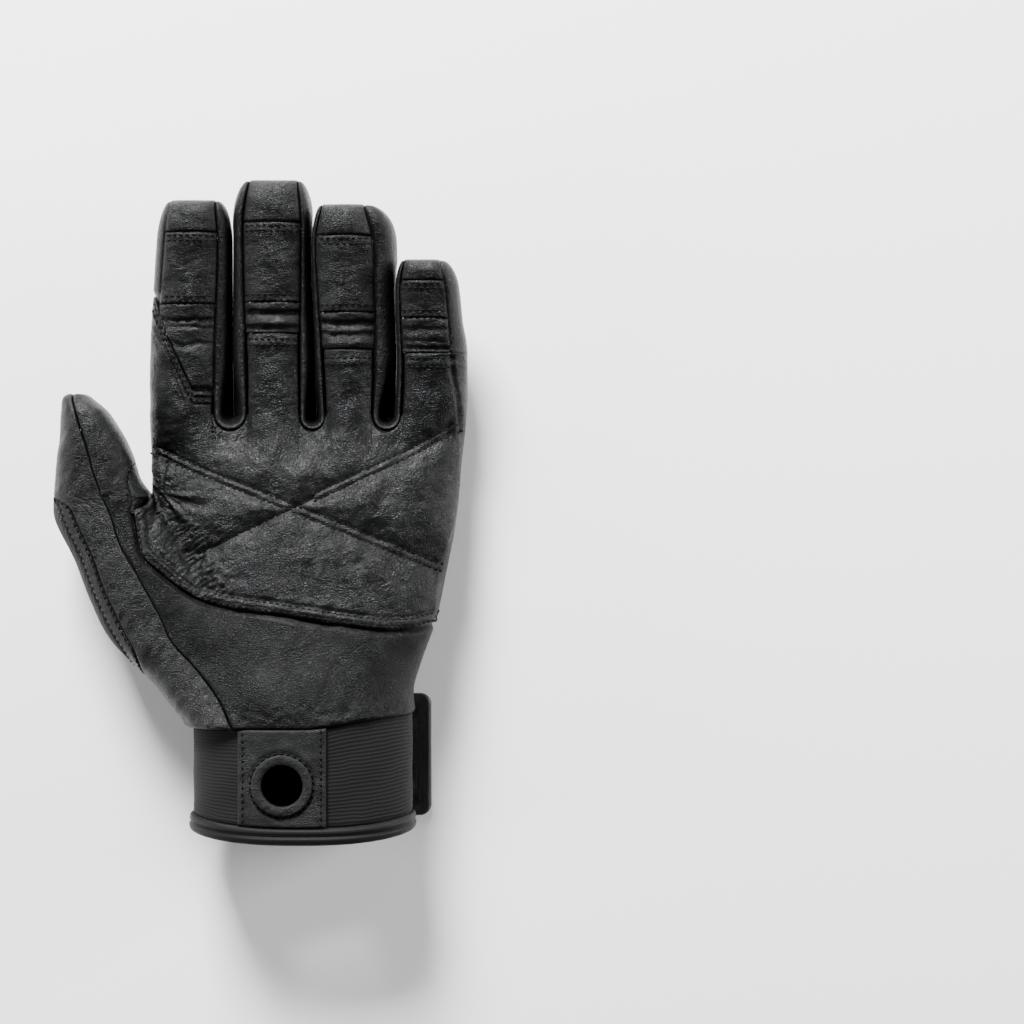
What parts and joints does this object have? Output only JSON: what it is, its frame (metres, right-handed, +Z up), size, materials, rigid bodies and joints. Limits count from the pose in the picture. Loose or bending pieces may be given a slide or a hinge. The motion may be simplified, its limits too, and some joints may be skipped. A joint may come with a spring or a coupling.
{
  "type": "climbing glove",
  "caption": "Full-finger leather climbing glove for a left hand, palm up, with a crossed stitched palm patch, woven back, elastic cuff and a clip hole in the cuff.",
  "frame": {"origin": "on the flat back of the hand, where the glove rests, below the middle of the palm", "axes": "+Z up out of the palm, +Y from the cuff to the fingertips, the thumb at -X"},
  "size_m": [0.1454, 0.2307, 0.0503],
  "materials": {
    "leather": "black pebbled leather with a low sheen, seams stitched in black thread",
    "woven_back": "black stretch weave with a fine lattice of lighter threads",
    "cuff_knit": "black elastic with fine cross ribs",
    "hem_binding": "black satin binding tape",
    "tab_rubber": "black moulded tab, semi-matt with fine ribs"
  },
  "bodies": {
    "root": {"palm_patch": "leather", "palm_heel": "leather", "thumb_front": "leather", "thumb_outer": "leather", "thumb_back": "leather", "rim_strip": "leather", "web_side": "leather", "index_tip": "leather", "index_pad": "leather", "index_crease": "leather", "index_back": "leather", "middle_tip": "leather", "middle_pad": "leather", "middle_crease": "leather", "middle_back": "leather", "ring_tip": "leather", "ring_pad": "leather", "ring_crease": "leather", "ring_back": "leather", "little_tip": "leather", "little_pad": "leather", "little_crease": "leather", "little_back": "leather", "fourchette_index_middle": "leather", "fourchette_middle_ring": "leather", "fourchette_ring_little": "leather", "side_index": "leather", "side_little": "leather", "clip_tab": "leather", "clip_ring": "leather", "hand_back": "woven_back", "cuff_band": "cuff_knit", "closure_strap": "cuff_knit", "cuff_hem": "hem_binding", "closure_tab": "tab_rubber"}
  },
  "joints": []
}
